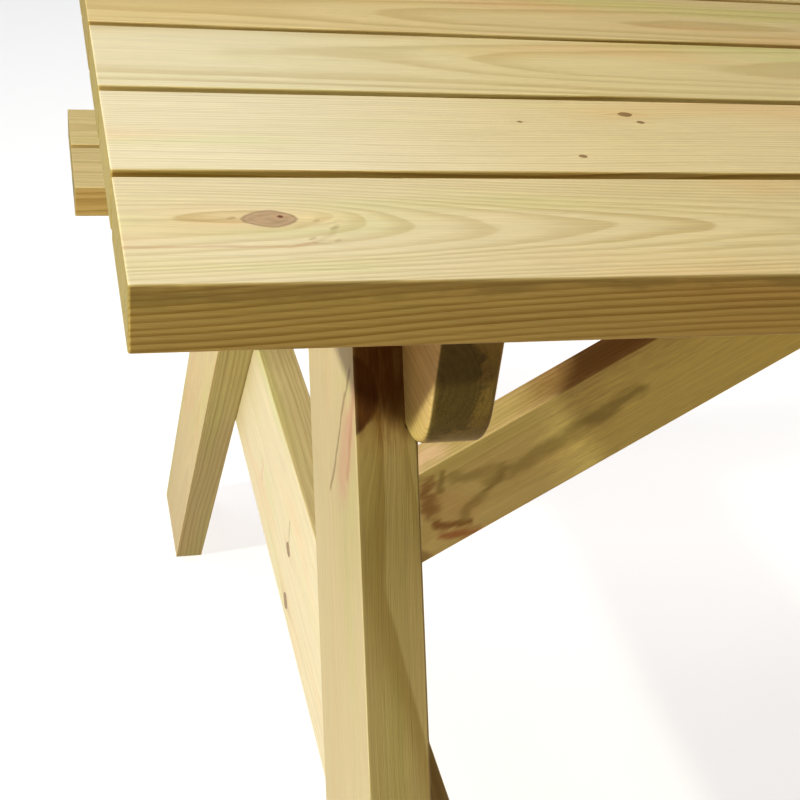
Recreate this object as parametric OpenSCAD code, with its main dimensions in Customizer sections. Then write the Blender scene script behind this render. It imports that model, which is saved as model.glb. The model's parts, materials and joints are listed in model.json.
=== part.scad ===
// Folding picnic table in planed timber: a five-plank top on two A-frames,
// and two plank benches that fold up on pivot bolts in the seat bearers.
// The origin is on the ground under the middle of the top.
// X runs along the table, Y across it, and the front is at -Y.

/* [Table] */
// Length of the top and of the benches
table_l = 1200; // [1000:10:1800]
// Height of the top surface
table_h = 720; // [700:5:760]
// Thickness of every board
board_t = 28; // [24:1:34]
// Planks beyond the legs' outer faces, at each end
overhang = 100; // [60:5:200]

/* [Top] */
// Width of a top plank or seat plank
plank_w = 96; // [90:1:100]
// Gap between neighbouring planks
plank_gap = 7.5; // [4:0.5:9]
// Depth of the top bearers, the centre batten and the seat arms
bearer_h = 70; // [66:1:76]
// Length of a top bearer
bearer_l = 472; // [460:2:490]
// Radius of a board's rounded lower end corner
corner_r = 26; // [16:1:30]

/* [Frames] */
// Width of a leg
leg_w = 100; // [90:1:104]
// Slope of a leg, from upright
leg_angle = 32.3; // [31:0.1:33]
// Outer edge of a leg at the underside of the top, from the middle
leg_top_y = 162; // [156:1:168]
// Depth of the housing that lets a top bearer into a leg
housing_d = 5.5; // [3:0.5:8]
// Depth of a seat bearer
seat_bearer_h = 125; // [115:1:130]
// Width of a brace
brace_w = 68; // [60:1:70]
// Slope of a brace, from level
brace_angle = 33.4; // [31:0.1:34]

/* [Benches] */
// Height of the seat surface
seat_h = 457; // [450:1:465]
// Inner edge of a bench, from the middle
seat_inner_y = 445; // [440:1:455]
// Pivot bolt, from the middle
pivot_y = 395; // [392:1:398]
// Seat bearer's end, from the middle
seat_bearer_end_y = 635; // [625:1:640]
// Angle of the benches, as a preview: 0 is down and 95 is folded up
bench_fold = 0; // [0:1:95]

/* [Fasteners] */
// Diameter of the leg bolts
leg_bolt_d = 8; // [6:1:8]
// Diameter of the pivot bolts
pivot_bolt_d = 10; // [8:1:10]
// Diameter of a wood screw
screw_d = 5; // [4:0.5:5]

/* [Hidden] */
$fn = 64;

timber = [0.80, 0.71, 0.47];
timber_top = [0.86, 0.77, 0.53];
zinc = [0.70, 0.70, 0.68];

// Heights
under_top_z = table_h - board_t;
bearer_z = under_top_z - bearer_h;
under_seat_z = seat_h - board_t;
rest_gap = 0.4;
seat_bearer_top_z = under_seat_z - rest_gap;
seat_bearer_z = seat_bearer_top_z - seat_bearer_h;
arm_z = under_seat_z - bearer_h;
pivot_z = arm_z + bearer_h / 2;

// Places along X, at the left end
leg_x = -table_l / 2 + overhang;
bearer_x = leg_x + board_t - housing_d;
seat_bearer_x = leg_x + board_t;
seat_bearer_face_x = seat_bearer_x + board_t;

// Places across Y, as distances from the middle
plank_pitch = plank_w + plank_gap;
leg_across = leg_w / cos(leg_angle);
seat_outer_y = seat_inner_y + 2 * plank_w + plank_gap;

// Pivot stack along X, from the seat bearer's inner face
pivot_washer_t = 2.5;
arm_clearance = 0.4;
arm_x = seat_bearer_face_x + pivot_washer_t + arm_clearance;
pivot_outer_washer_x = arm_x + board_t + arm_clearance;
pivot_nut_x = pivot_outer_washer_x + pivot_washer_t;
pivot_nut_h = 9.5;
pivot_bolt_l = pivot_nut_x + pivot_nut_h + 3 - seat_bearer_x;
pivot_bore_r = pivot_bolt_d / 2 + 0.05;

// Leg bolts: a spread pair through the leg and the seat bearer, off the leg's centre line
leg_washer_t = 2;
leg_nut_h = 6.5;
bolt_end = 3;
bolt_chamfer = 1;
bolt_clearance = 0.25;
leg_bolt_zs = [seat_bearer_top_z - 27, seat_bearer_top_z - 73];
leg_bolt_offsets = [14, -32];

// Wood screws, driven up through the boards below
screw_l = 50;
seat_screw_l = 45;
bearer_screw_l = 40;
bearer_screw_sink = 0.5;
bearer_screw_yzs = [
    [-92, under_top_z - 20], [-150, under_top_z - 20],
    [-112, under_top_z - 51], [-160, under_top_z - 51]
];
head_r = screw_d;
head_h = screw_d / 2;
screw_bite = 15;
pair_half = 28;
pilot_clearance = 0.1;
batten_w = 70;
foot_screw_zs = [seat_bearer_top_z - 27, seat_bearer_top_z - 45];
foot_screw_angle = 30;
foot_screw_back = 24;
foot_screw_y = 9;
foot_screw_pocket = 24;
brace_top_screw_x = -board_t;

function leg_outer_y(z) = -(leg_top_y + (under_top_z - z) * tan(leg_angle));
function leg_mid_y(z) = leg_outer_y(z) + leg_across / 2;
function plank_y(i) = (i - 3) * plank_pitch;
function seat_plank_y(i) = -(seat_inner_y + plank_w / 2 + i * plank_pitch);
function brace_top_z(x) = seat_bearer_top_z + (x - seat_bearer_face_x) * tan(brace_angle);
function brace_low_z(x) = brace_top_z(x) - brace_w / cos(brace_angle);

// A pair of screws per plank, kept clear of the rounded end of the board below
function pair_y(y, limit) = [for (s = [-1, 1]) sign(y + s * pair_half)
    * min(abs(y + s * pair_half), limit)];
top_screw_ys = [for (i = [1:5]) each pair_y(plank_y(i), bearer_l / 2 - corner_r - 6)];
seat_screw_ys = [for (i = [0, 1]) each
    pair_y(seat_plank_y(i), seat_bearer_end_y - corner_r - 6)];

// Placing

// The left, front quarter of the table, mirrored to the other ends and sides
module placed(right = false, back = false) {
    mirror([right ? 1 : 0, 0, 0]) mirror([0, back ? 1 : 0, 0]) children();
}

module at_left_and_right() {
    for (right = [false, true]) placed(right, false) children();
}

module at_all_corners() {
    for (right = [false, true], back = [false, true]) placed(right, back) children();
}

// Turns the front bench about its pivot bolts
module folded() {
    translate([0, -pivot_y, pivot_z]) rotate([-bench_fold, 0, 0])
        translate([0, pivot_y, -pivot_z]) children();
}

// Extrudes an outline drawn in Y and Z along X
module across(x, length) {
    translate([x, 0, 0]) rotate([90, 0, 90]) linear_extrude(length) children();
}

// Points +Z along +X
module along_x(x, y, z) {
    translate([x, y, z]) rotate([0, 90, 0]) children();
}

// Fasteners and their holes

// Countersunk wood screw that points up from its head's lower face
module screw(length) {
    tip_h = 2 * screw_d;
    cylinder(h = head_h, r1 = head_r, r2 = screw_d / 2);
    cylinder(h = length - tip_h, d = screw_d);
    translate([0, 0, length - tip_h]) cylinder(h = tip_h, r1 = screw_d / 2, r2 = 0.4);
}

// Hole for that screw, with a countersink and a pocket below it
module screw_hole(length, pocket) {
    translate([0, 0, -pocket]) cylinder(h = pocket, r = head_r + 0.5);
    cylinder(h = head_h, r1 = head_r + 0.5, r2 = screw_d / 2 + pilot_clearance);
    cylinder(h = length + 1, r = screw_d / 2 + pilot_clearance);
}

// Coach bolt along +X: domed head, square neck and a shank with a chamfered end
module coach_bolt(d, length) {
    dome_r = 1.6 * d;
    dome_h = 0.5 * d;
    intersection() {
        translate([dome_r - dome_h, 0, 0]) sphere(r = dome_r);
        translate([-dome_h, 0, 0]) rotate([0, 90, 0]) cylinder(h = dome_h, r = 1.25 * d);
    }
    translate([0, -d / 2, -d / 2]) cube([0.6 * d, d, d]);
    rotate([0, 90, 0]) cylinder(h = length - bolt_chamfer, d = d);
    translate([length - bolt_chamfer, 0, 0]) rotate([0, 90, 0])
        cylinder(h = bolt_chamfer, r1 = d / 2, r2 = d / 2 - bolt_chamfer);
}

module coach_bolt_hole(d, length) {
    neck = d + 2 * bolt_clearance;
    translate([-1, -neck / 2, -neck / 2]) cube([0.6 * d + 1, neck, neck]);
    rotate([0, 90, 0]) cylinder(h = length, r = d / 2 + bolt_clearance);
}

module washer(d, outer_d, t) {
    rotate([0, 90, 0]) difference() {
        cylinder(h = t, d = outer_d);
        translate([0, 0, -1]) cylinder(h = t + 2, r = d / 2 + bolt_clearance);
    }
}

// Hexagon nut along +X, with both ends chamfered at 30 degrees
module hex_nut(d, flats, h) {
    face_r = 0.475 * flats;
    rim_r = face_r + h / tan(30);
    rotate([0, 90, 0]) difference() {
        intersection() {
            cylinder(h = h, d = flats / cos(30), $fn = 6);
            cylinder(h = h, r1 = face_r, r2 = rim_r);
            cylinder(h = h, r1 = rim_r, r2 = face_r);
        }
        translate([0, 0, -1]) cylinder(h = h + 2, r = d / 2 + 0.05);
    }
}

// Leg bolts of the front left leg, at any X
module leg_bolt_lines(x) {
    for (i = [0, 1])
        translate([x, leg_mid_y(leg_bolt_zs[i]) + leg_bolt_offsets[i], leg_bolt_zs[i]]) children();
}

module leg_bolt_holes() {
    leg_bolt_lines(leg_x) coach_bolt_hole(leg_bolt_d, 2 * board_t + 1);
}

// Screws through the top bearer into the front left leg, from the inner side
module bearer_screw_lines() {
    for (p = bearer_screw_yzs)
        translate([bearer_x + board_t - bearer_screw_sink, p[0], p[1]])
            rotate([0, -90, 0]) children();
}

module top_screws_at(x) {
    for (y = top_screw_ys) translate([x, y, under_top_z + screw_bite - screw_l]) children();
}

module seat_screws_at(x, length) {
    for (y = seat_screw_ys) translate([x, y, under_seat_z + screw_bite - length]) children();
}

// Top

module top_screw_lines() {
    at_left_and_right() top_screws_at(bearer_x + board_t / 2) children();
    top_screws_at(0) children();
}

module brace_top_screw_lines() {
    at_left_and_right()
        translate([brace_top_screw_x, 0, under_top_z + screw_bite - screw_l]) children();
}

module top_plank(i) {
    color(timber_top) difference() {
        translate([-table_l / 2, plank_y(i) - plank_w / 2, under_top_z])
            cube([table_l, plank_w, board_t]);
        top_screw_lines() screw_hole(screw_l, 0);
        brace_top_screw_lines() screw_hole(screw_l, 0);
    }
}

// Bearer outline with both lower corners rounded, centred on Y
module bearer_outline(length, h, r) {
    half = length / 2;
    translate([-half, r]) square([length, h - r]);
    translate([-half + r, 0]) square([length - 2 * r, h]);
    for (s = [-1, 1]) translate([s * (half - r), r]) circle(r);
}

module top_bearer() {
    color(timber) difference() {
        translate([0, 0, bearer_z]) across(bearer_x, board_t)
            bearer_outline(bearer_l, bearer_h, corner_r);
        top_screws_at(bearer_x + board_t / 2) screw_hole(screw_l, bearer_h);
        for (back = [false, true]) placed(false, back)
            bearer_screw_lines() screw_hole(bearer_screw_l, 1);
    }
}

module centre_batten() {
    color(timber) difference() {
        translate([0, 0, bearer_z]) across(-board_t / 2, board_t)
            bearer_outline(bearer_l, bearer_h, corner_r);
        top_screws_at(0) screw_hole(screw_l, bearer_h);
    }
}

// Frames

module leg() {
    color(timber) difference() {
        across(leg_x, board_t) polygon([
            [leg_outer_y(0), 0],
            [leg_outer_y(0) + leg_across, 0],
            [leg_outer_y(under_top_z) + leg_across, under_top_z],
            [leg_outer_y(under_top_z), under_top_z]
        ]);
        translate([bearer_x, -bearer_l / 2, bearer_z]) cube([board_t, bearer_l, bearer_h + 1]);
        bearer_screw_lines() screw_hole(bearer_screw_l, 1);
        leg_bolt_holes();
    }
}

module seat_bearer() {
    color(timber) difference() {
        translate([0, 0, seat_bearer_z]) across(seat_bearer_x, board_t)
            bearer_outline(2 * seat_bearer_end_y, seat_bearer_h, 1.5 * corner_r);
        for (back = [false, true]) placed(false, back) {
            leg_bolt_holes();
            translate([seat_bearer_x, -pivot_y, pivot_z])
                coach_bolt_hole(pivot_bolt_d, board_t + 1);
        }
        brace_foot_lines() screw_hole(screw_l, foot_screw_pocket);
    }
}

// Slanted screws from both sides of a brace's foot into the left seat bearer
module brace_foot_lines() {
    for (back = [0, 1]) placed(false, back == 1)
        translate([
            seat_bearer_face_x + foot_screw_back * cos(foot_screw_angle),
            -foot_screw_y,
            foot_screw_zs[back]
        ])
            rotate([0, 0, -foot_screw_angle]) rotate([0, -90, 0]) children();
}

// Brace from the seat bearer up to the centre batten, in the middle plane
module brace() {
    batten_face_x = -board_t / 2;
    run_to_top = (under_top_z - seat_bearer_top_z) / tan(brace_angle);
    color(timber) difference() {
        translate([0, board_t / 2, 0]) rotate([90, 0, 0]) linear_extrude(board_t) polygon([
            [seat_bearer_face_x, brace_low_z(seat_bearer_face_x)],
            [batten_face_x, brace_low_z(batten_face_x)],
            [batten_face_x, under_top_z],
            [seat_bearer_face_x + run_to_top, under_top_z],
            [seat_bearer_face_x, seat_bearer_top_z]
        ]);
        brace_foot_lines() screw_hole(screw_l, foot_screw_pocket);
        translate([brace_top_screw_x, 0, under_top_z + screw_bite - screw_l])
            screw_hole(screw_l, bearer_h);
    }
}

// Benches

module seat_plank(i) {
    color(timber_top) difference() {
        translate([-table_l / 2, seat_plank_y(i) - plank_w / 2, under_seat_z])
            cube([table_l, plank_w, board_t]);
        at_left_and_right()
            seat_screws_at(arm_x + board_t / 2, screw_l) screw_hole(screw_l, 0);
        seat_screws_at(0, seat_screw_l) screw_hole(seat_screw_l, 0);
    }
}

// Arm with a round inner end about the pivot and a rounded outer corner
module seat_arm() {
    half_h = bearer_h / 2;
    color(timber) difference() {
        across(arm_x, board_t) {
            translate([-pivot_y, pivot_z]) circle(half_h);
            translate([-seat_bearer_end_y + corner_r, arm_z])
                square([seat_bearer_end_y - corner_r - pivot_y, bearer_h]);
            translate([-seat_bearer_end_y, arm_z + corner_r])
                square([corner_r + 1, bearer_h - corner_r]);
            translate([-seat_bearer_end_y + corner_r, arm_z + corner_r]) circle(corner_r);
        }
        along_x(arm_x - 1, -pivot_y, pivot_z) cylinder(h = board_t + 2, r = pivot_bore_r);
        seat_screws_at(arm_x + board_t / 2, screw_l) screw_hole(screw_l, bearer_h);
    }
}

module seat_batten() {
    batten_end = 10;
    color(timber) difference() {
        translate([-batten_w / 2, -seat_outer_y + batten_end, arm_z + bearer_h - board_t])
            cube([batten_w, seat_outer_y - seat_inner_y - 2 * batten_end, board_t]);
        seat_screws_at(0, seat_screw_l) screw_hole(seat_screw_l, board_t);
    }
}

module seat_screws() {
    color(zinc) {
        at_left_and_right() seat_screws_at(arm_x + board_t / 2, screw_l) screw(screw_l);
        seat_screws_at(0, seat_screw_l) screw(seat_screw_l);
    }
}

// Hardware of the frames

module leg_bolts() {
    bolt_l = 2 * board_t + leg_washer_t + leg_nut_h + bolt_end;
    color(zinc) at_all_corners() leg_bolt_lines(leg_x) coach_bolt(leg_bolt_d, bolt_l);
}

module leg_washers() {
    color(zinc) at_all_corners() leg_bolt_lines(seat_bearer_face_x)
        washer(leg_bolt_d, 3 * leg_bolt_d, leg_washer_t);
}

module leg_nuts() {
    color(zinc) at_all_corners() leg_bolt_lines(seat_bearer_face_x + leg_washer_t)
        hex_nut(leg_bolt_d, 1.625 * leg_bolt_d, leg_nut_h);
}

module pivot_bolts() {
    color(zinc) at_all_corners() translate([seat_bearer_x, -pivot_y, pivot_z])
        coach_bolt(pivot_bolt_d, pivot_bolt_l);
}

module pivot_washers() {
    color(zinc) at_all_corners() for (x = [seat_bearer_face_x, pivot_outer_washer_x])
        translate([x, -pivot_y, pivot_z]) washer(pivot_bolt_d, 3 * pivot_bolt_d, pivot_washer_t);
}

module pivot_nuts() {
    color(zinc) at_all_corners() translate([pivot_nut_x, -pivot_y, pivot_z])
        hex_nut(pivot_bolt_d, 1.7 * pivot_bolt_d, pivot_nut_h);
}

module top_screws() {
    color(zinc) top_screw_lines() screw(screw_l);
}

module bearer_screws() {
    color(zinc) at_all_corners() bearer_screw_lines() screw(bearer_screw_l);
}

module brace_screws() {
    color(zinc) {
        at_left_and_right() brace_foot_lines() screw(screw_l);
        brace_top_screw_lines() screw(screw_l);
    }
}

top_plank(1);  // top_plank_1
top_plank(2);  // top_plank_2
top_plank(3);  // top_plank_3
top_plank(4);  // top_plank_4
top_plank(5);  // top_plank_5
top_bearer();  // top_bearer_left
placed(true, false) top_bearer();  // top_bearer_right
centre_batten();
leg();  // leg_front_left
placed(false, true) leg();  // leg_back_left
placed(true, false) leg();  // leg_front_right
placed(true, true) leg();  // leg_back_right
seat_bearer();  // seat_bearer_left
placed(true, false) seat_bearer();  // seat_bearer_right
brace();  // brace_left
placed(true, false) brace();  // brace_right
folded() seat_plank(0);  // front_seat_inner_plank
folded() seat_plank(1);  // front_seat_outer_plank
folded() seat_arm();  // front_seat_arm_left
placed(true, false) folded() seat_arm();  // front_seat_arm_right
folded() seat_batten();  // front_seat_batten
placed(false, true) folded() seat_plank(0);  // back_seat_inner_plank
placed(false, true) folded() seat_plank(1);  // back_seat_outer_plank
placed(false, true) folded() seat_arm();  // back_seat_arm_left
placed(true, true) folded() seat_arm();  // back_seat_arm_right
placed(false, true) folded() seat_batten();  // back_seat_batten
leg_bolts();
leg_washers();
leg_nuts();
pivot_bolts();
pivot_washers();
pivot_nuts();
top_screws();
bearer_screws();
brace_screws();
folded() seat_screws();  // front_seat_screws
placed(false, true) folded() seat_screws();  // back_seat_screws
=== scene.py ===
"""Folding picnic table: timber and zinc finishes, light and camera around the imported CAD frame.

Lengths in the scene are metres. Inside a timber material they are millimetres along the
board's own axes: u along the grain, v across the wide face and w through the thickness.
"""
import json
import math
import random
from collections import defaultdict, namedtuple

import bpy
import numpy as np
from mathutils import Matrix, Vector


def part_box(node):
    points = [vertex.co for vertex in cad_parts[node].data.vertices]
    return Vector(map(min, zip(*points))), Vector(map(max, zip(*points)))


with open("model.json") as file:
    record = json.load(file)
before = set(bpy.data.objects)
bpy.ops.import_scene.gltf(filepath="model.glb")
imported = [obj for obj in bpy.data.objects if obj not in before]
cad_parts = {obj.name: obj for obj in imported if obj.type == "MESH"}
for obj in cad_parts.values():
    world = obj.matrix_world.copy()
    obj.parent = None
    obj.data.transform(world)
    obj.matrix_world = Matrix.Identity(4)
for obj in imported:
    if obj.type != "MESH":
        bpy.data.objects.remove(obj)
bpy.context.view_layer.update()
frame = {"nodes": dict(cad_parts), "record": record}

MM = 0.001
NODES = frame["nodes"]
SCENE = bpy.context.scene

# --- Camera ----------------------------------------------------------------------------

# The photograph's viewpoint, found from the table's own edges
CAMERA_PLACE = (-0.6266, -0.6623, 0.930)
CAMERA_TURN = math.radians(17.52)
CAMERA_PITCH = math.radians(31.40)
CAMERA_ROLL = math.radians(7.01)
CAMERA_SENSOR = 36.0
CAMERA_LENS = 58.5
CAMERA_SHIFT = 0.0025


def make_camera():
    """Camera that looks along +Y, turned to the right, tilted down and rolled."""
    data = bpy.data.cameras.new("camera")
    data.sensor_width = CAMERA_SENSOR
    data.lens = CAMERA_LENS
    data.shift_x = CAMERA_SHIFT
    data.shift_y = -CAMERA_SHIFT
    camera = bpy.data.objects.new("camera", data)
    SCENE.collection.objects.link(camera)
    turn = Matrix.Rotation(-CAMERA_TURN, 4, "Z")
    tilt = Matrix.Rotation(math.radians(90) - CAMERA_PITCH, 4, "X")
    roll = Matrix.Rotation(CAMERA_ROLL, 4, "Z")
    camera.matrix_world = Matrix.Translation(CAMERA_PLACE) @ turn @ tilt @ roll
    SCENE.camera = camera
    SCENE.view_settings.view_transform = "Standard"
    SCENE.view_settings.look = "High Contrast"


# --- Node building ---------------------------------------------------------------------


class Graph:
    """Short calls that add one node each to a material and return its output."""

    def __init__(self, tree):
        self.tree = tree

    def add(self, kind, **settings):
        node = self.tree.nodes.new(kind)
        for name, value in settings.items():
            setattr(node, name, value)
        return node

    def feed(self, socket, value):
        if isinstance(value, bpy.types.NodeSocket):
            self.tree.links.new(value, socket)
        else:
            socket.default_value = value

    def math(self, operation, *values, clamp=False):
        node = self.add("ShaderNodeMath", operation=operation, use_clamp=clamp)
        for socket, value in zip(node.inputs, values):
            self.feed(socket, value)
        return node.outputs[0]

    def sum(self, *values):
        total = values[0]
        for value in values[1:]:
            total = self.math("ADD", total, value)
        return total

    def times(self, a, b):
        return self.math("MULTIPLY", a, b)

    def inverse(self, value):
        """One minus the value."""
        return self.math("SUBTRACT", 1.0, value)

    def bell(self, value, sharpness):
        """1 where the value is 0, falling off to both sides."""
        return self.math("EXPONENT", self.times(self.math("POWER", value, 2.0), -sharpness))

    def vector(self, operation, *values):
        node = self.add("ShaderNodeVectorMath", operation=operation)
        for socket, value in zip(node.inputs, values):
            self.feed(socket, value)
        scalar = operation in ("DOT_PRODUCT", "LENGTH", "DISTANCE")
        return node.outputs["Value" if scalar else "Vector"]

    def scaled(self, vector, factor):
        node = self.add("ShaderNodeVectorMath", operation="SCALE")
        self.feed(node.inputs[0], vector)
        self.feed(node.inputs["Scale"], factor)
        return node.outputs["Vector"]

    def step(self, value, low, high):
        """Smooth step from 0 at low to 1 at high."""
        node = self.add("ShaderNodeMapRange", interpolation_type="SMOOTHSTEP")
        self.feed(node.inputs["Value"], value)
        node.inputs["From Min"].default_value = low
        node.inputs["From Max"].default_value = high
        return node.outputs["Result"]

    def noise(self, vector, scale, detail=2.0, rough=0.5):
        """Noise about 0, from roughly -0.5 to 0.5."""
        level = self.noise_node(vector, scale, detail, rough).outputs["Fac"]
        return self.math("SUBTRACT", level, 0.5)

    def drift(self, vector, scale, detail, amount):
        """A vector that wanders about 0 by the amount."""
        colour = self.noise_node(vector, scale, detail, 0.5).outputs["Color"]
        return self.scaled(self.vector("SUBTRACT", colour, (0.5, 0.5, 0.5)), amount)

    def noise_node(self, vector, scale, detail, rough):
        node = self.add("ShaderNodeTexNoise")
        self.feed(node.inputs["Vector"], self.vector("MULTIPLY", vector, scale))
        node.inputs["Scale"].default_value = 1.0
        node.inputs["Detail"].default_value = detail
        node.inputs["Roughness"].default_value = rough
        return node

    def mix(self, factor, a, b, blend="MIX"):
        node = self.add("ShaderNodeMix", data_type="RGBA", blend_type=blend)
        self.feed(node.inputs[0], factor)
        self.feed(node.inputs[6], a)
        self.feed(node.inputs[7], b)
        return node.outputs[2]

    def tint(self, factor, colour, tone):
        """The colour, multiplied by the tone as far as the factor says."""
        return self.mix(factor, colour, tone, "MULTIPLY")

    def placed(self, vector, centre, rotation, unit):
        """A point of the object, in the axes given by centre and rotation."""
        node = self.add("ShaderNodeMapping", vector_type="TEXTURE")
        self.feed(node.inputs["Vector"], vector)
        node.inputs["Location"].default_value = centre
        node.inputs["Rotation"].default_value = rotation
        node.inputs["Scale"].default_value = (unit, unit, unit)
        return node.outputs["Vector"]


def new_material(name):
    material = bpy.data.materials.new(name)
    material.use_nodes = True
    graph = Graph(material.node_tree)
    shader = material.node_tree.nodes["Principled BSDF"]
    return material, graph, shader


# --- Boards ----------------------------------------------------------------------------

TIMBER_SLOTS = ("top_timber", "frame_timber", "seat_timber")
# How far the planer eased the long edges
ARRIS = 1.2 * MM
BEARER_ARRIS = 2.8 * MM
ARRIS_SEGMENTS = 3
# Faces that turn by less than this make no arris
LEAST_ARRIS_TURN = math.radians(35)
# Points closer than this are the same point, and faces this near the hull belong to it
WELD_GAP = 0.02 * MM
HULL_GAP = 0.05 * MM

Board = namedtuple("Board", "centre rotation half")


def grain_axis(node):
    """The direction of a board's length: a box side, or the slope of a leg or a brace."""
    low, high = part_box(node)
    size = high - low
    points = [v.co for v in NODES[node].data.vertices]
    if node.startswith("leg_"):
        tops = [p.y for p in points if p.z > high.z - MM]
        feet = [p.y for p in points if p.z < low.z + MM]
        run = (max(tops) + min(tops)) / 2 - (max(feet) + min(feet)) / 2
        return Vector((0, run, size.z)).normalized()
    if node.startswith("brace_"):
        foot = min(points, key=lambda p: p.z)
        inner = min(points, key=lambda p: (round(abs(p.x), 4), p.z))
        return Vector((inner.x - foot.x, 0, inner.z - foot.z)).normalized()
    side = max(range(3), key=lambda i: size[i])
    return Vector([float(i == side) for i in range(3)])


def board_of(node):
    """The centre, axes and half sizes of a board, from its CAD node."""
    low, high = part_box(node)
    size = high - low
    along = grain_axis(node)
    thin = min(range(3), key=lambda i: size[i])
    through = Vector([float(i == thin) for i in range(3)])
    axes = Matrix((along, through.cross(along), through))
    local = [axes @ v.co for v in NODES[node].data.vertices]
    lowest = Vector([min(p[i] for p in local) for i in range(3)])
    highest = Vector([max(p[i] for p in local) for i in range(3)])
    turned = axes.transposed()
    return Board(turned @ ((lowest + highest) / 2), turned.to_euler(), (highest - lowest) / 2)


def corners(node):
    """The lowest and highest corners of a board, in millimetres of the frame."""
    low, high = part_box(node)
    return low / MM, high / MM


def spot(node, x, y, z):
    """A place of the frame, in millimetres, on the board's own axes."""
    board = board_of(node)
    axes = board.rotation.to_matrix().transposed()
    return tuple(axes @ (Vector((x, y, z)) - board.centre / MM))


def outline_edges(mesh):
    """The arrises of a board: sharp edges between two faces of its convex outline."""
    points = np.array([v.co for v in mesh.vertices])
    normals = np.array([p.normal for p in mesh.polygons])
    centres = np.array([p.center for p in mesh.polygons])
    outer = (points @ normals.T).max(axis=0) < (normals * centres).sum(axis=1) + HULL_GAP

    def key(a, b):
        return frozenset(tuple(round(c, 5) for c in mesh.vertices[i].co) for i in (a, b))

    sides = defaultdict(list)
    for polygon in mesh.polygons:
        if outer[polygon.index]:
            for pair in polygon.edge_keys:
                sides[key(*pair)].append(polygon.normal)
    for edge in mesh.edges:
        found = sides[key(*edge.vertices)]
        if any(a.dot(b) < math.cos(LEAST_ARRIS_TURN) for a in found for b in found):
            yield edge.index


def ease_arrises(piece, width):
    """Rounds a board's arrises, and leaves its screw holes and housings sharp."""
    weights = piece.data.attributes.new("bevel_weight_edge", "FLOAT", "EDGE")
    for index in outline_edges(piece.data):
        weights.data[index].value = 1.0
    weld = piece.modifiers.new("weld", "WELD")
    weld.merge_threshold = WELD_GAP
    bevel = piece.modifiers.new("arris", "BEVEL")
    bevel.width = width
    bevel.segments = ARRIS_SEGMENTS
    bevel.limit_method = "WEIGHT"
    bevel.use_clamp_overlap = False
    bevel.harden_normals = True


# --- Timber ----------------------------------------------------------------------------

# A timber's left-end share is painted light: its wide faces grow paler towards the top's left end
Timber = namedtuple("Timber", "pith lean sway ring contrast tone edge bleach knots streaks")
# A knot or a streak with a face shows only on faces that look that way
Knot = namedtuple("Knot", "at radius toward stretch colour face", defaults=(None,))
Streak = namedtuple("Streak", "path radius colour strength face", defaults=(None,))
WIDE_FACE = (0, 0, 1)
FAR_FACE = (0, 0, -1)
NARROW_FACE = (0, 1, 0)
FAR_EDGE = (0, -1, 0)

# Directions on a board's own axes
ALONG = (1.0, 0.0, 0.0)
ACROSS = (0.0, 1.0, 0.0)

# Treated pine: pale early wood, darker late wood, and the end grain that drinks the most
EARLY = (0.70, 0.60, 0.37, 1)
LATE = (0.50, 0.38, 0.17, 1)
GREENER = (0.93, 1.0, 0.84, 1)
PINKER = (1.02, 0.93, 0.88, 1)
END_SAP = (0.35, 0.29, 0.11, 1)
END_HEART = (0.20, 0.165, 0.055, 1)
END_RING = (0.60, 0.55, 0.45, 1)
# A paler tone along the arrises
PALE_ARRIS = (0.78, 0.68, 0.44, 1)
KNOT_PINK = (0.47, 0.35, 0.24, 1)
KNOT_BROWN = (0.30, 0.19, 0.09, 1)
KNOT_EYE = (0.20, 0.08, 0.05, 1)
KNOT_RED = (0.07, 0.018, 0.010, 1)
RESIN_PINK = (0.66, 0.42, 0.29, 1)
RESIN_RED = (0.50, 0.27, 0.16, 1)
RESIN_LINE = (0.30, 0.20, 0.10, 1)
# Painted shade: brown for places under the table top
PAINTED_SHADE_BROWN = (0.24, 0.11, 0.025, 1)
RUSSET = (0.34, 0.18, 0.07, 1)
RUSSET_RED = (0.44, 0.18, 0.09, 1)
BLUSH = (0.66, 0.44, 0.28, 1)
# Pink of a lit top face: partly the wood's colour, partly painted light
PINK_AND_PAINTED_LIGHT = (1.0, 0.78, 0.74, 1)
OLIVE = (0.34, 0.26, 0.10, 1)
# Painted light: olive lift for a shaded front face
PAINTED_LIGHT_OLIVE = (1.08, 1.05, 0.56, 1)
# Painted light: the wide faces of the top paler towards the left end, and the stretch where it fades out
PAINTED_LEFT_LIGHT = (1.03, 1.09, 1.32, 1)
PAINTED_LEFT_LIGHT_ENDS = (-560.0, -340.0)
# Radius of the darker heart of a log, and the width of its soft edge
HEART = 30.0
HEART_EDGE = 4.0
# How far the edge of a streak strays, against its radius, and the most in millimetres
WANDER = 2.2
MOST_WANDER = 16.0

# How far each board's seed moves it through the noise
SEED_SHIFT = (37.0, 11.0, 5.0)
STRAND_SHIFT = 13.0
# Noise per millimetre along, across and through a board
BROAD_BEND = (0.0035, 0.010, 0.010)
FINE_BEND = (0.016, 0.05, 0.05)
KNOT_EDGE_NOISE = (0.10, 0.16, 0.16)
KNOT_BLOTCH = (0.14, 0.5, 0.5)
GREEN_DRIFT = (0.004, 0.024, 0.024)
PINK_DRIFT = (0.005, 0.020, 0.020)
FIBRE = (0.010, 0.80, 0.80)
FINE_FIBRE = (0.045, 3.2, 3.2)
CANALS = (0.035, 1.5, 1.5)
END_SPECK = (0.9, 0.9, 0.9)
END_BLOTCH = (0.12, 0.12, 0.12)
STREAK_EDGE = (0.07, 0.5, 0.5)
STREAK_WANDER = (0.05, 0.12, 0.12)
# How far the grain wanders, in millimetres
BROAD_AMOUNT = 12.0
FINE_AMOUNT = 1.3

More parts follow.
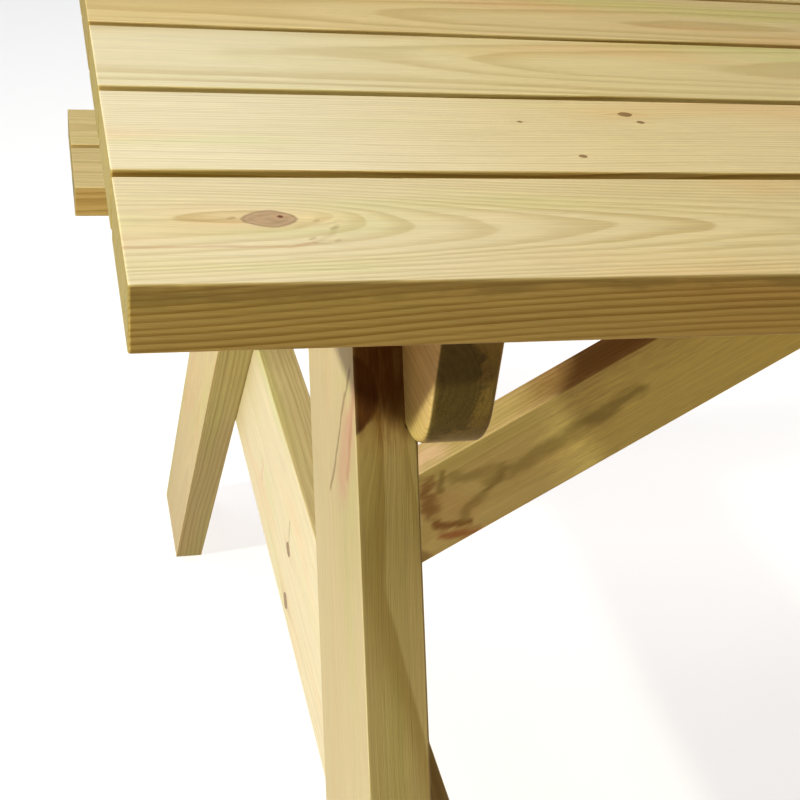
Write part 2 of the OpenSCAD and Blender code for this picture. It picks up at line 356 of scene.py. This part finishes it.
# A knot's outline is at 1: where it ends, its dark rim, and the pink halo outside it
KNOT_TAPER = (1.9, 1.3)
KNOT_END = (0.84, 1.06)
RIM_START = (0.72, 0.98)
RIM_END = (0.98, 1.16)
HALO = (0.4, 1.7)
KNOT_TURNS = 11.0
# The grain that flows round a knot is this much longer than the knot
FLOW_STRETCH = 2.4
FLOW_SHARPNESS = 0.16
# How far the rings bulge over a knot, against its radius
BULGE = 0.55
BULGE_SHARPNESS = 0.45
# The most knots on a board that is drawn by lot
MOST_KNOTS = 4

# Parts of a growth ring where late wood starts and ends
LATE_START = (0.25, 0.88)
LATE_END = (0.90, 1.0)
# How often the rings' width changes, per millimetre of radius, and by how many rings at most
PACE = 0.05
PACE_RINGS = 3.0
# Late wood shows bolder on narrow faces
EDGE_BOLD = 1.1

# Shares of the fibre, fine fibre and canals in the colour
FIBRE_SHADE = 0.34
FINE_SHADE = 0.28
CANAL_SHADE = -0.08
ROUGHNESS = 0.56
SPECULAR = 0.35
# Where the paler tone of the arrises ends, in millimetres, and how strong it is
PALE_ARRIS_WIDTH = (0.2, 2.0)
PALE_ARRIS_SHARE = 0.18
# Shares of the late wood, the fibres and the rough cut ends in the relief
LATE_RELIEF = 0.35
FIBRE_RELIEF = 0.9
FINE_RELIEF = 0.55
CUT_RELIEF = 2.5
RELIEF_STRENGTH = 0.5
RELIEF_DEPTH = 0.4 * MM


def on_face(g, mask, facing, face):
    """The mask, kept to the faces that look the given way."""
    if face is None:
        return mask
    return g.times(mask, g.step(g.vector("DOT_PRODUCT", facing, face), 0.3, 0.6))


def bend_round(g, place, facing, point, knot, ragged):
    """Bends the grain round a knot. Returns the bent point, the rings' bulge and the masks."""
    axis = Vector(knot.toward).normalized()
    side = axis.cross(Vector(ALONG)).normalized()
    rel = g.vector("SUBTRACT", place, knot.at)
    depth = g.vector("DOT_PRODUCT", rel, tuple(axis))
    flat = g.vector("SUBTRACT", rel, g.scaled(tuple(axis), depth))
    run = g.vector("DOT_PRODUCT", flat, ALONG)
    off = g.vector("DOT_PRODUCT", flat, tuple(side))

    def reach(stretch, power_along, power_across):
        """1 on the outline of a knot that tapers towards its ends, less inside."""
        along = g.math("ABSOLUTE", g.math("DIVIDE", run, knot.radius * stretch))
        across = g.math("ABSOLUTE", g.math("DIVIDE", off, knot.radius))
        return g.sum(g.math("POWER", along, power_along), g.math("POWER", across, power_across))

    near = g.sum(reach(knot.stretch, *KNOT_TAPER), g.times(ragged, 0.5))
    wide = g.math("SQRT", reach(FLOW_STRETCH * knot.stretch, 2.0, 2.0))
    spread = g.math("POWER", g.math("MAXIMUM", wide, 0.2), 2.0)
    hug = g.math("MINIMUM", g.math("DIVIDE", 1.0, spread), 1.0)
    push = g.times(g.times(off, hug), g.bell(wide, FLOW_SHARPNESS))
    bent = g.vector("SUBTRACT", point, g.scaled(tuple(side), push))
    bulge = g.times(g.bell(wide, BULGE_SHARPNESS), BULGE * knot.radius)
    inside = g.inverse(g.step(near, *KNOT_END))
    rim = g.times(g.step(near, *RIM_START), g.inverse(g.step(near, *RIM_END)))
    halo = g.inverse(g.step(wide, *HALO))
    shown = [on_face(g, mask, facing, knot.face) for mask in (inside, rim, halo)]
    turns = g.math("SINE", g.times(near, KNOT_TURNS))
    return bent, bulge, (knot.colour, *shown, turns)


def bent_grain(g, place, facing, shift, timber):
    """The place moved so that straight grain wanders and flows round the knots."""
    point = g.vector("ADD", place, g.drift(shift, BROAD_BEND, 1.0, BROAD_AMOUNT))
    point = g.vector("ADD", point, g.drift(shift, FINE_BEND, 2.0, FINE_AMOUNT))
    ragged = g.noise(shift, KNOT_EDGE_NOISE, 3.0)
    bulges, masks = [], []
    for knot in timber.knots:
        point, bulge, knot_masks = bend_round(g, place, facing, point, knot, ragged)
        bulges.append(bulge)
        masks.append(knot_masks)
    return point, bulges, masks


def growth_rings(g, point, bulges, timber, seed):
    """Distance from the pith, and the late wood: a slow rise and a sharp end in every ring."""
    amount, length, start = timber.sway
    along = g.vector("DOT_PRODUCT", point, ALONG)
    lean_v, lean_w = timber.lean
    centre = g.vector("ADD", g.scaled((0.0, lean_v, lean_w), along), (0.0, *timber.pith))
    wave = g.math("SINE", g.times(g.math("SUBTRACT", along, start), 2 * math.pi / length))
    centre = g.vector("ADD", centre, g.scaled((0.0, 0.0, amount), wave))
    spoke = g.vector("MULTIPLY", g.vector("SUBTRACT", point, centre), (0.0, 1.0, 1.0))
    radius = g.vector("LENGTH", spoke)
    for bulge in bulges:
        radius = g.math("SUBTRACT", radius, bulge)
    pace = g.add("ShaderNodeTexNoise", noise_dimensions="1D")
    g.feed(pace.inputs["W"], g.sum(g.times(radius, PACE), float(seed)))
    pace.inputs["Scale"].default_value = 1.0
    count = g.sum(g.math("DIVIDE", radius, timber.ring), g.times(pace.outputs[0], PACE_RINGS))
    part = g.math("FRACT", count)
    weight = g.add("ShaderNodeTexWhiteNoise", noise_dimensions="1D")
    g.feed(weight.inputs["W"], g.sum(g.math("FLOOR", count), float(seed)))
    late = g.times(g.step(part, *LATE_START), g.inverse(g.step(part, *LATE_END)))
    return radius, g.times(late, g.sum(g.times(weight.outputs[0], 0.5), 0.5))


def side_colour(g, shift, along, late, edge, timber):
    """Long faces: rings, broad greener and pinker drifts, bolder rings on narrow faces, painted light
    towards the top's left end, and the narrow faces' tone, which is partly painted shade.
    """
    bold = g.sum(g.times(edge, EDGE_BOLD * timber.contrast), timber.contrast)
    colour = g.mix(g.math("MULTIPLY", late, bold, clamp=True), EARLY, LATE)
    green = g.step(g.noise(shift, GREEN_DRIFT, 2.0), 0.0, 0.25)
    pink = g.step(g.noise(g.vector("ADD", shift, (0, 70, 0)), PINK_DRIFT, 2.0), 0.02, 0.28)
    colour = g.tint(green, colour, GREENER)
    colour = g.tint(pink, colour, PINKER)
    # Painted light: wide faces paler towards the left end of the top
    if timber.bleach:
        near_end = g.inverse(g.step(along, *PAINTED_LEFT_LIGHT_ENDS))
        colour = g.tint(g.times(g.times(near_end, g.inverse(edge)), timber.bleach), colour, PAINTED_LEFT_LIGHT)
    # Narrow faces take the edge tone: partly edge-grain colour, partly painted shade, and on the brace
    # painted light
    return g.tint(edge, colour, timber.edge)


def end_colour(g, shift, late, radius):
    """Cut ends: dark heart, olive sapwood, faint rings and speckle."""
    speck = g.noise(shift, END_SPECK, 4.0, 0.7)
    blotch = g.noise(shift, END_BLOTCH, 3.0, 0.6)
    soft = HEART_EDGE / 2
    sap = g.step(g.sum(radius, g.times(blotch, 20.0)), HEART - soft, HEART + soft)
    colour = g.mix(sap, END_HEART, END_SAP)
    colour = g.tint(g.times(late, 0.32), colour, END_RING)
    dots = g.times(g.step(speck, 0.12, 0.30), g.sum(g.times(sap, 0.35), 0.12))
    colour = g.mix(dots, colour, EARLY)
    shade = g.sum(1.0, g.times(speck, 0.5), g.times(blotch, 0.4))
    return g.scaled(colour, shade), speck


def add_knots(g, colour, shift, masks):
    """Knots: a pink halo in the wood round each, its blotched heart, and its dark rim."""
    blotch = g.noise(shift, KNOT_BLOTCH, 3.0, 0.6)
    for own, inside, rim, halo, turns in masks:
        colour = g.tint(g.times(halo, 0.35), colour, PINKER)
        heart = g.scaled(own[:3], g.sum(1.0, g.times(turns, 0.05), g.times(blotch, 0.7)))
        colour = g.mix(g.times(inside, 0.92), colour, heart)
        colour = g.mix(g.times(rim, 0.6), colour, g.scaled(own[:3], 0.72))
    return colour


def path_gap(g, point, path):
    """Distance from a point to the nearest part of a path."""
    nearest = None
    for start, end in zip(path, path[1:]):
        span = Vector(end) - Vector(start)
        rel = g.vector("SUBTRACT", point, tuple(start))
        run = g.vector("DOT_PRODUCT", rel, tuple(span))
        part = g.math("DIVIDE", run, span.length_squared, clamp=True)
        gap = g.vector("LENGTH", g.vector("SUBTRACT", rel, g.scaled(tuple(span), part)))
        nearest = gap if nearest is None else g.math("MINIMUM", nearest, gap)
    return nearest


def add_streaks(g, colour, place, facing, shift, streaks):
    """Resin, pitch and stains along short paths inside the wood, and painted light and shade on some
    boards, with wandering soft edges.
    """
    if not streaks:
        return colour
    ragged = g.noise(shift, STREAK_EDGE, 3.0, 0.6)
    wander = g.drift(shift, STREAK_WANDER, 2.0, 1.0)
    for streak in streaks:
        amount = min(WANDER * streak.radius, MOST_WANDER)
        moved = g.vector("ADD", place, g.scaled(wander, amount))
        gap = g.math("DIVIDE", path_gap(g, moved, streak.path), streak.radius)
        gap = g.sum(gap, g.times(ragged, 1.1))
        mask = on_face(g, g.inverse(g.step(gap, 0.1, 1.35)), facing, streak.face)
        colour = g.mix(g.times(mask, streak.strength), colour, streak.colour)
    return colour


def square_to(g, facing, axis, low, high):
    """1 on faces that look along an axis of the board, 0 on the others."""
    return g.step(g.math("ABSOLUTE", g.vector("DOT_PRODUCT", facing, axis)), low, high)


def wood_fibre(g, point, seed):
    """Fibre, fine fibre and resin canals, all drawn out along the grain."""
    strand = g.vector("ADD", point, (0.0, STRAND_SHIFT * seed, 0.0))
    fibre = g.noise(strand, FIBRE, 4.0, 0.6)
    fine = g.noise(strand, FINE_FIBRE, 3.0, 0.6)
    canal = g.step(g.noise(strand, CANALS, 1.0), 0.16, 0.24)
    return fibre, fine, canal


def pale_arrises(g, colour, place, board):
    """Arrises are drawn paler than the faces."""
    gap = g.vector("SUBTRACT", tuple(board.half / MM), g.vector("ABSOLUTE", place))
    split = g.add("ShaderNodeSeparateXYZ")
    g.feed(split.inputs[0], gap)
    farther = g.math("MAXIMUM", split.outputs["Y"], split.outputs["Z"])
    arris = g.inverse(g.step(farther, *PALE_ARRIS_WIDTH))
    return g.mix(g.times(arris, PALE_ARRIS_SHARE), colour, PALE_ARRIS)


def add_relief(g, shader, *heights):
    """Fine bumps, as high as the heights together."""
    bump = g.add("ShaderNodeBump")
    bump.inputs["Strength"].default_value = RELIEF_STRENGTH
    bump.inputs["Distance"].default_value = RELIEF_DEPTH
    g.feed(bump.inputs["Height"], g.sum(*heights))
    g.feed(shader.inputs["Normal"], bump.outputs["Normal"])


def timber_material(name, board, timber, seed):
    """Treated pine, cut from a log with growth rings, so every face of the board agrees."""
    material, g, shader = new_material(name)
    coordinates = g.add("ShaderNodeTexCoord")
    place = g.placed(coordinates.outputs["Object"], board.centre, board.rotation, MM)
    facing = g.placed(coordinates.outputs["Normal"], (0, 0, 0), board.rotation, 1.0)
    end = square_to(g, facing, ALONG, 0.55, 0.85)
    edge = square_to(g, facing, ACROSS, 0.5, 0.8)
    shift = g.vector("ADD", place, tuple(step * seed for step in SEED_SHIFT))

    point, bulges, masks = bent_grain(g, place, facing, shift, timber)
    radius, late = growth_rings(g, point, bulges, timber, seed)
    fibre, fine, canal = wood_fibre(g, point, seed)

    along = g.vector("DOT_PRODUCT", place, ALONG)
    colour = side_colour(g, shift, along, late, edge, timber)
    colour = add_knots(g, colour, shift, masks)
    colour = add_streaks(g, colour, place, facing, shift, timber.streaks)
    shade = g.sum(1.0, g.times(fibre, FIBRE_SHADE), g.times(fine, FINE_SHADE),
                  g.times(canal, CANAL_SHADE))
    colour = g.scaled(colour, shade)
    cut, speck = end_colour(g, shift, late, radius)
    colour = g.tint(1.0, g.mix(end, colour, cut), timber.tone)
    g.feed(shader.inputs["Base Color"], pale_arrises(g, colour, place, board))

    g.feed(shader.inputs["Roughness"], g.sum(ROUGHNESS, g.times(fibre, 0.25), g.times(late, -0.08)))
    shader.inputs["Specular IOR Level"].default_value = SPECULAR
    add_relief(g, shader, g.times(late, LATE_RELIEF), g.times(fibre, FIBRE_RELIEF),
               g.times(fine, FINE_RELIEF), g.times(g.times(speck, end), CUT_RELIEF))
    return material


def tone(red, green, blue):
    return (red, green, blue, 1)


# The edge tone darkens narrow faces: partly edge-grain colour, partly painted shade
PLAIN = Timber(pith=(-5, -60), lean=(0.0, 0.01), sway=(0.0, 600.0, 0.0), ring=2.8, contrast=0.5,
               tone=tone(1, 1, 1), edge=tone(0.84, 0.79, 0.64), bleach=0.0, knots=(), streaks=())


def usual_timber(node):
    """A board that no close view fixes: its log, knots and tone are drawn by lot."""
    lot = random.Random(node)
    half = board_of(node).half / MM
    pith = (lot.uniform(-0.8, 0.8) * half.y, -lot.choice((-1, 1)) * lot.uniform(30, 75))
    knots = []
    place = -half.x + lot.uniform(60, 260)
    while place < half.x - 50:
        turn = lot.uniform(-0.7, 0.7)
        toward = (lot.uniform(-0.2, 0.2), math.sin(turn), -math.copysign(math.cos(turn), pith[1]))
        colour = lot.choice((KNOT_PINK, KNOT_PINK, KNOT_BROWN))
        radius = lot.uniform(3.5, 9.5)
        stretch = lot.uniform(1.05, 1.5)
        knots.append(Knot((place, *pith), radius, toward, stretch, colour))
        place += lot.uniform(190, 420)
    shade = lot.uniform(0.95, 1.05)
    return PLAIN._replace(
        pith=pith, lean=(lot.uniform(-0.02, 0.02), lot.uniform(-0.03, 0.03)),
        sway=(lot.uniform(-5, 5), lot.uniform(450, 800), lot.uniform(0, 500)),
        ring=lot.uniform(2.2, 3.6), contrast=lot.uniform(0.4, 0.7),
        tone=tone(shade, shade * lot.uniform(0.98, 1.01), shade * lot.uniform(0.93, 1.02)),
        knots=tuple(knots[:MOST_KNOTS]))


def line_of(node, places, radius, colour, strength, face=None):
    """A streak that runs through places of the frame."""
    return [Streak([spot(node, *place) for place in places], radius, colour, strength, face)]


def front_plank():
    """Pink knot near the left end, a reddish line below it, and flecks where the grain closes."""
    node = "top_plank_1"
    (left, front, _), (right, _, top) = corners(node)
    knot = Knot(spot(node, -542, -201, top), 7.6, (0.25, 0.1, 1), 1.42, KNOT_PINK, WIDE_FACE)
    eye = Knot(spot(node, -537.5, -199, top), 1.1, (0, 0.1, 1), 1.1, KNOT_EYE, WIDE_FACE)
    line = [(left, -225, top), (-560, -225.5, top), (-538, -226.5, top), (-528, -223, top)]
    wick = [(left, -202, top), (-566, -202, top), (-556, -200.5, top)]
    hook = [(-528, -223, top), (-519, -215, top), (-517, -208, top)]
    swirl = [(-532, -209, top), (-521, -207, top), (-514, -202, top)]
    streaks = line_of(node, line, 1.3, RESIN_RED, 0.34)
    streaks += line_of(node, hook, 1.6, RESIN_LINE, 0.16)
    streaks += line_of(node, swirl, 1.2, RESIN_LINE, 0.14)
    streaks += line_of(node, wick, 1.6, RESIN_LINE, 0.18)
    for x, y in ((-557, -200), (-524, -203), (-518, -210), (-528, -219), (-519, -221)):
        fleck = [(x - 0.8, y - 0.6, top), (x + 0.8, y + 0.6, top)]
        streaks += line_of(node, fleck, 1.3, RESIN_LINE, 0.36)
    upper = [(left, front, top - 4.5), (-430, front, top - 1), (right, front, top - 1)]
    streaks += line_of(node, upper, 5.0, OLIVE, 0.75, FAR_EDGE)
    return PLAIN._replace(pith=(-5, 66), sway=(7.4, 600, -500), ring=2.3, contrast=0.56,
                          edge=tone(0.76, 0.70, 0.48), bleach=0.75,
                          knots=(knot, eye), streaks=tuple(streaks))


def second_plank():
    """Straight fine rings, and four small knots towards the right."""
    node = "top_plank_2"
    top = corners(node)[1].z
    places = [(-340, -76, 3.2), (-336, -87, 1.8), (-401, -89, 1.2), (-384.5, -133, 1.8)]
    knots = [Knot(spot(node, x, y, top), radius, (0.2, 0.2, 1), 1.2, KNOT_BROWN)
             for x, y, radius in places]
    return PLAIN._replace(pith=(-150, -60), ring=2.3, contrast=0.50, tone=tone(1.07, 1.08, 1.11),
                          edge=tone(0.77, 0.67, 0.42), bleach=1.0, knots=tuple(knots))


def near_leg():
    """Dark half knot on the front edge, and the pink resin that runs from it down the left face; painted
    shade darkens the front edge under the top.
    """
    node = "leg_front_left"
    face = corners(node)[0].x
    knot = Knot(spot(node, face, -198, 635), 10.5, (0.05, 1, 0), 1.65, KNOT_RED, NARROW_FACE)
    # Painted shade: the front edge darkened where it sits under the top
    painted_nook_shade = [(-488, -186, 690), (-486, -201, 642)]
    streaks = line_of(node, painted_nook_shade, 25, PAINTED_SHADE_BROWN, 1.0, NARROW_FACE)
    resin = [(face, -196, 636), (face, -194, 616), (face, -194, 600), (face, -192, 586)]
    streaks += line_of(node, resin[:2], 7.0, RESIN_PINK, 0.7, FAR_FACE)
    streaks += line_of(node, resin[1:], 14.0, RESIN_PINK, 0.75, FAR_FACE)
    streaks += line_of(node, [(face, -197, 632), (face, -200, 594)], 3.2, RESIN_RED, 0.5, FAR_FACE)
    edge = [(face, -186, 641), (face, -180, 615), (face, -178, 595), (face, -176, 579), (face, -173, 567)]
    streaks += line_of(node, edge, 1.7, RESIN_LINE, 0.7, FAR_FACE)
    return PLAIN._replace(pith=(-40, -16), lean=(-0.05, 0.0), ring=3.0, contrast=0.32,
                          tone=tone(0.81, 0.835, 0.91), edge=tone(0.86, 0.80, 0.61),
                          knots=(knot,), streaks=tuple(streaks))


def near_seat_bearer():
    """Pale board with two blurred brown knots and a reddish spot."""
    node = "seat_bearer_left"
    face = corners(node)[0].x
    knots = (Knot(spot(node, face, 37, 361), 5.0, (0, 0.1, 1), 1.4, KNOT_BROWN),
             Knot(spot(node, face, 33, 318), 5.5, (0, 0.1, 1), 1.4, KNOT_BROWN))
    streaks = line_of(node, [(face, 38, 384), (face, 37, 366)], 2.2, KNOT_BROWN, 0.45)
    streaks += line_of(node, [(face, 150, 356), (face, 150, 342)], 4.5, RESIN_PINK, 0.6)
    return PLAIN._replace(pith=(20, 70), ring=3.6, contrast=0.24, tone=tone(1.10, 1.205, 1.54),
                          knots=knots, streaks=tuple(streaks))


def near_brace():
    """Russet blotches above the foot, an olive band that climbs from them, and a pink patch on top that
    is partly painted light; painted light on the front and painted shade on the top further right.
    """
    node = "brace_left"
    front = corners(node)[0].y
    patch = [(-396, front, 448), (-391, front, 424)]
    mark = [(-386, front, 456), (-385, front, 442)]
    bar = [(-385, front, 414), (-362, front, 415)]
    low_patch = [(-378, front, 406), (-357, front, 407)]
    glow = [(-390, front, 436), (-366, front, 427)]
    hook = [(-367, front, 416), (-365, front, 427), (-355, front, 439), (-345, front, 450)]
    band = [(-352, front, 446), (-333, front, 460), (-315, front, 473), (-262, front, 513)]
    branch = [(-377, front, 452), (-347, front, 458)]
    # Painted light: the front paler further right, where the top shades it
    pale = [(-258, front, 494), (-120, front, 585)]
    streaks = line_of(node, pale, 62, PAINTED_LIGHT_OLIVE, 0.8, FAR_FACE)
    streaks += line_of(node, glow, 12.0, BLUSH, 0.35, FAR_FACE)
    streaks += line_of(node, patch, 8.0, RUSSET, 0.8, FAR_FACE)
    streaks += line_of(node, mark, 3.4, OLIVE, 0.7, FAR_FACE)
    streaks += line_of(node, bar, 4.0, RUSSET, 0.9, FAR_FACE)
    streaks += line_of(node, low_patch, 5.5, RUSSET_RED, 0.8, FAR_FACE)
    streaks += line_of(node, hook, 4.0, OLIVE, 0.6, FAR_FACE)
    streaks += line_of(node, band, 7.0, OLIVE, 0.6, FAR_FACE)
    streaks += line_of(node, branch, 5.5, OLIVE, 0.5, FAR_FACE)
    # The top near the leg: partly pink wood, partly painted light
    streaks += line_of(node, [(-404, 0, 454), (-390, 0, 464)], 12.0, PINK_AND_PAINTED_LIGHT, 0.85, FAR_EDGE)
    # Painted shade: the top darker further right, under the table top
    streaks += line_of(node, [(-306, 0, 518), (-100, 0, 654)], 36.0, PAINTED_SHADE_BROWN, 0.6, FAR_EDGE)
    # The paler narrow faces are painted light on the brace's lit top
    return PLAIN._replace(pith=(10, 60), ring=3.8, contrast=0.26, tone=tone(0.80, 0.79, 0.64),
                          edge=tone(1.12, 1.06, 1.35), streaks=tuple(streaks))


def timbers_seen():
    """The boards that the photograph shows closely."""
    third_plank = PLAIN._replace(pith=(10, -90), ring=4.6, contrast=0.55,
                                 tone=tone(1.01, 1.02, 0.99), bleach=1.0)
    fourth_plank = PLAIN._replace(pith=(-10, -60), ring=3.0, tone=tone(0.98, 0.95, 0.90))
    far_leg = PLAIN._replace(pith=(30, 40), ring=3.4, contrast=0.35,
                             tone=tone(0.95, 0.95, 0.96), edge=tone(0.90, 1.0, 0.90))
    near_bearer = PLAIN._replace(pith=(4, -20), ring=3.4, contrast=0.45, tone=tone(0.92, 0.86, 0.76))
    return {
        "top_plank_1": front_plank(),
        "top_plank_2": second_plank(),
        "top_plank_3": third_plank,
        "top_plank_4": fourth_plank,
        "leg_front_left": near_leg(),
        "leg_back_left": far_leg,
        "top_bearer_left": near_bearer,
        "seat_bearer_left": near_seat_bearer(),
        "brace_left": near_brace(),
    }


def dress_boards():
    seen = timbers_seen()
    boards = [s["node"] for s in frame["record"]["subparts"] if s["material_slot"] in TIMBER_SLOTS]
    for seed, node in enumerate(boards, 1):
        piece = NODES[node]
        timber = seen.get(node) or usual_timber(node)
        piece.data.materials.clear()
        piece.data.materials.append(timber_material("timber_" + node, board_of(node), timber, seed))
        ease_arrises(piece, BEARER_ARRIS if node.startswith("top_bearer") else ARRIS)


# --- Zinc ------------------------------------------------------------------------------

ZINC_DULL = (0.42, 0.42, 0.41, 1)
ZINC_BRIGHT = (0.66, 0.66, 0.63, 1)


def zinc_material():
    """Bright zinc plating with faint spangle."""
    material, g, shader = new_material("zinc")
    coordinates = g.add("ShaderNodeTexCoord")
    place = g.scaled(coordinates.outputs["Object"], 1 / MM)
    spangle = g.noise(place, (0.25, 0.25, 0.25), 4.0, 0.6)
    g.feed(shader.inputs["Base Color"], g.mix(g.step(spangle, -0.2, 0.2), ZINC_DULL, ZINC_BRIGHT))
    g.feed(shader.inputs["Roughness"], g.sum(g.times(spangle, 0.3), 0.38))
    shader.inputs["Metallic"].default_value = 1.0
    return material


def dress_hardware():
    zinc = zinc_material()
    for part in frame["record"]["subparts"]:
        if part["material_slot"] == "zinc_steel":
            piece = NODES[part["node"]]
            piece.data.materials.clear()
            piece.data.materials.append(zinc)


# --- Floor and light -------------------------------------------------------------------

FLOOR_TONE = (0.42, 0.42, 0.43, 1)
BLACK = (0, 0, 0, 1)
# The floor and the backdrop glow by themselves, so both stay pale where the lights don't reach
GLOW = (0.98, 0.985, 1.0, 1)
GLOW_STRENGTH = 0.52
FLOOR_SIZE = 60.0
BACKDROP_RADIUS = 26.0
SKY = (0.05, 0.05, 0.05, 1)
GROUND = (0.54, 0.40, 0.27, 1)
# What the lights aim at: the left end of the table
FOCUS = Vector((-0.45, -0.1, 0.5))
# Colours of the lights
SUN = (1.0, 0.98, 0.76)
SOFT = (1.0, 0.96, 0.96)
COOL = (0.8, 0.86, 1.0)
WARM = (1.0, 0.97, 0.92)


def stage_material(name, colour):
    """Matt, and glowing by itself."""
    material, _, shader = new_material(name)
    shader.inputs["Base Color"].default_value = colour
    shader.inputs["Roughness"].default_value = 0.9
    shader.inputs["Specular IOR Level"].default_value = 0.0
    shader.inputs["Emission Color"].default_value = GLOW
    shader.inputs["Emission Strength"].default_value = GLOW_STRENGTH
    return material


def make_floor():
    """Plain pale floor and backdrop. They throw no light on the table."""
    bpy.ops.mesh.primitive_plane_add(size=FLOOR_SIZE, location=(0, 0, 0))
    floor = bpy.context.object
    floor.name = "floor"
    floor.visible_diffuse = False
    floor.data.materials.append(stage_material("floor", FLOOR_TONE))
    bpy.ops.mesh.primitive_uv_sphere_add(radius=BACKDROP_RADIUS, segments=48, ring_count=24)
    backdrop = bpy.context.object
    backdrop.name = "backdrop"
    backdrop.visible_diffuse = False
    backdrop.visible_glossy = False
    backdrop.visible_shadow = False
    backdrop.data.materials.append(stage_material("backdrop", BLACK))


def area_light(name, bearing, elevation, distance, size, power, colour):
    """A square light that looks at the focus from a bearing (0 = front, 90 = left)."""
    turn = math.radians(bearing)
    rise = math.radians(elevation)
    level = math.cos(rise)
    away = Vector((-math.sin(turn) * level, -math.cos(turn) * level, math.sin(rise)))
    data = bpy.data.lights.new(name, "AREA")
    data.size = size
    data.energy = power
    data.color = colour
    light = bpy.data.objects.new(name, data)
    SCENE.collection.objects.link(light)
    light.location = FOCUS + away * distance
    light.rotation_euler = away.to_track_quat("Z", "Y").to_euler()
    return light


def make_light():
    """Key from the left and front, soft light from above, weak fills, and the world."""
    area_light("key", bearing=68, elevation=30, distance=2.8, size=0.14, power=45, colour=SUN)
    area_light("overhead", bearing=90, elevation=66, distance=2.0, size=1.0, power=17, colour=SOFT)
    fills = (
        area_light("left_fill", bearing=94, elevation=22, distance=2.6, size=0.8, power=5, colour=COOL),
        area_light("back_fill", bearing=230, elevation=14, distance=3.0, size=1.4, power=24, colour=WARM),
        area_light("right_fill", bearing=264, elevation=8, distance=3.4, size=1.4, power=16, colour=WARM),
    )
    for light in fills:
        light.visible_glossy = False
    make_world()


def make_world():
    """Dark sky, and warm light off the ground."""
    world = bpy.data.worlds.new("studio")
    SCENE.world = world
    world.use_nodes = True
    g = Graph(world.node_tree)
    split = g.add("ShaderNodeSeparateXYZ")
    g.feed(split.inputs[0], g.add("ShaderNodeTexCoord").outputs["Generated"])
    background = world.node_tree.nodes["Background"]
    g.feed(background.inputs["Color"], g.mix(g.step(split.outputs["Z"], -0.1, 0.1), GROUND, SKY))


make_camera()
make_floor()
make_light()
dress_boards()
dress_hardware()
